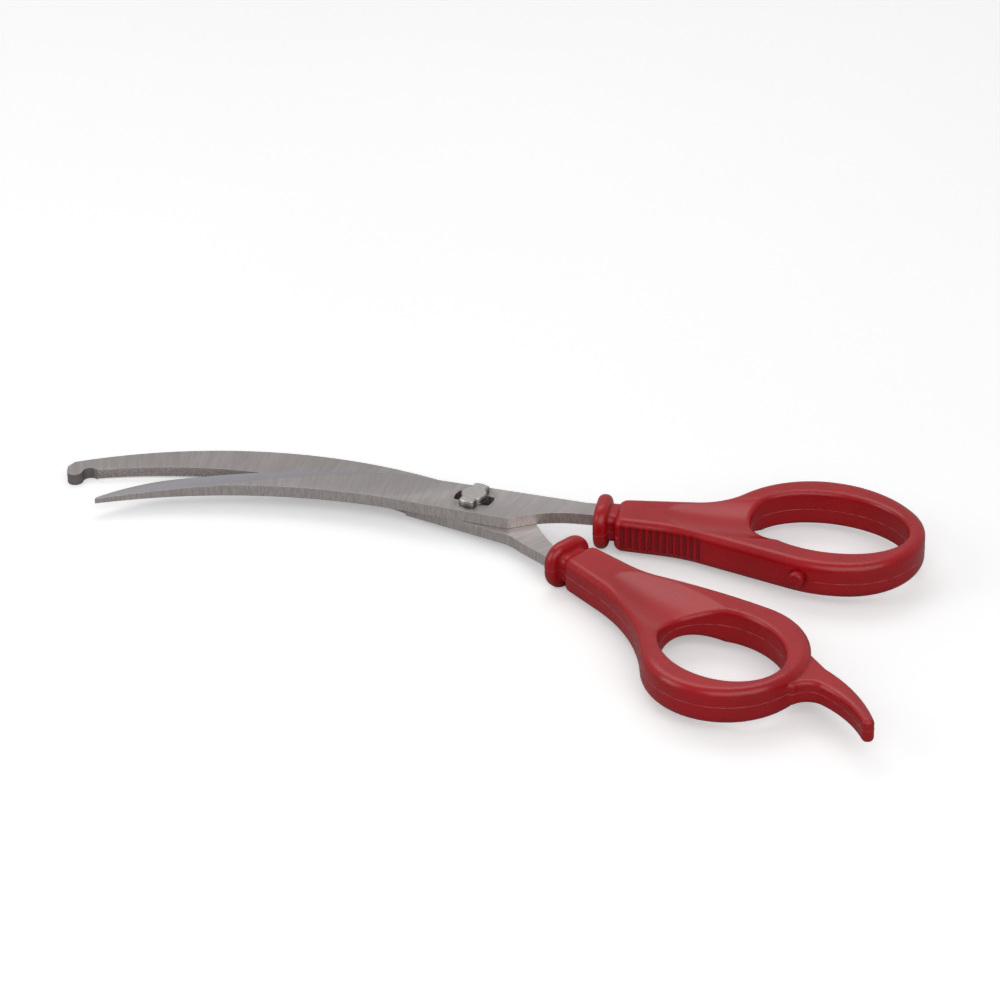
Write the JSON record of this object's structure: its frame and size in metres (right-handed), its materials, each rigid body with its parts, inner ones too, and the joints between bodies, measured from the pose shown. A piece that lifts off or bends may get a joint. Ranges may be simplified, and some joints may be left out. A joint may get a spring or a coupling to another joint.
{
  "type": "poultry shears",
  "caption": "Take-apart poultry shears: curved steel blade halves on a headed stud, moulded red handles with a thumb ring, a finger loop and a curved tail.",
  "frame": {"origin": "pivot axis at the plane where the two blades slide on each other", "axes": "+Z along the stud towards its head, -X towards the blade tips, handles towards +X"},
  "size_m": [0.197, 0.1205, 0.0112],
  "materials": {
    "blade_steel": "ground",
    "stud_steel": "turned",
    "handle_red": "gloss",
    "bumper_red": "satin"
  },
  "bodies": {
    "stud_half": {"stud_blade": "blade_steel", "pivot_stud": "stud_steel", "thumb_handle": "handle_red"},
    "keyhole_half": {"keyhole_blade": "blade_steel", "finger_handle": "handle_red", "closing_bumper": "bumper_red"}
  },
  "joints": [
    {"name": "pivot", "type": "hinge", "parent": "stud_half", "child": "keyhole_half", "pos_m": [0, 0, 0], "axis": [0, 0, 1], "range_deg": [-12, 86]}
  ]
}
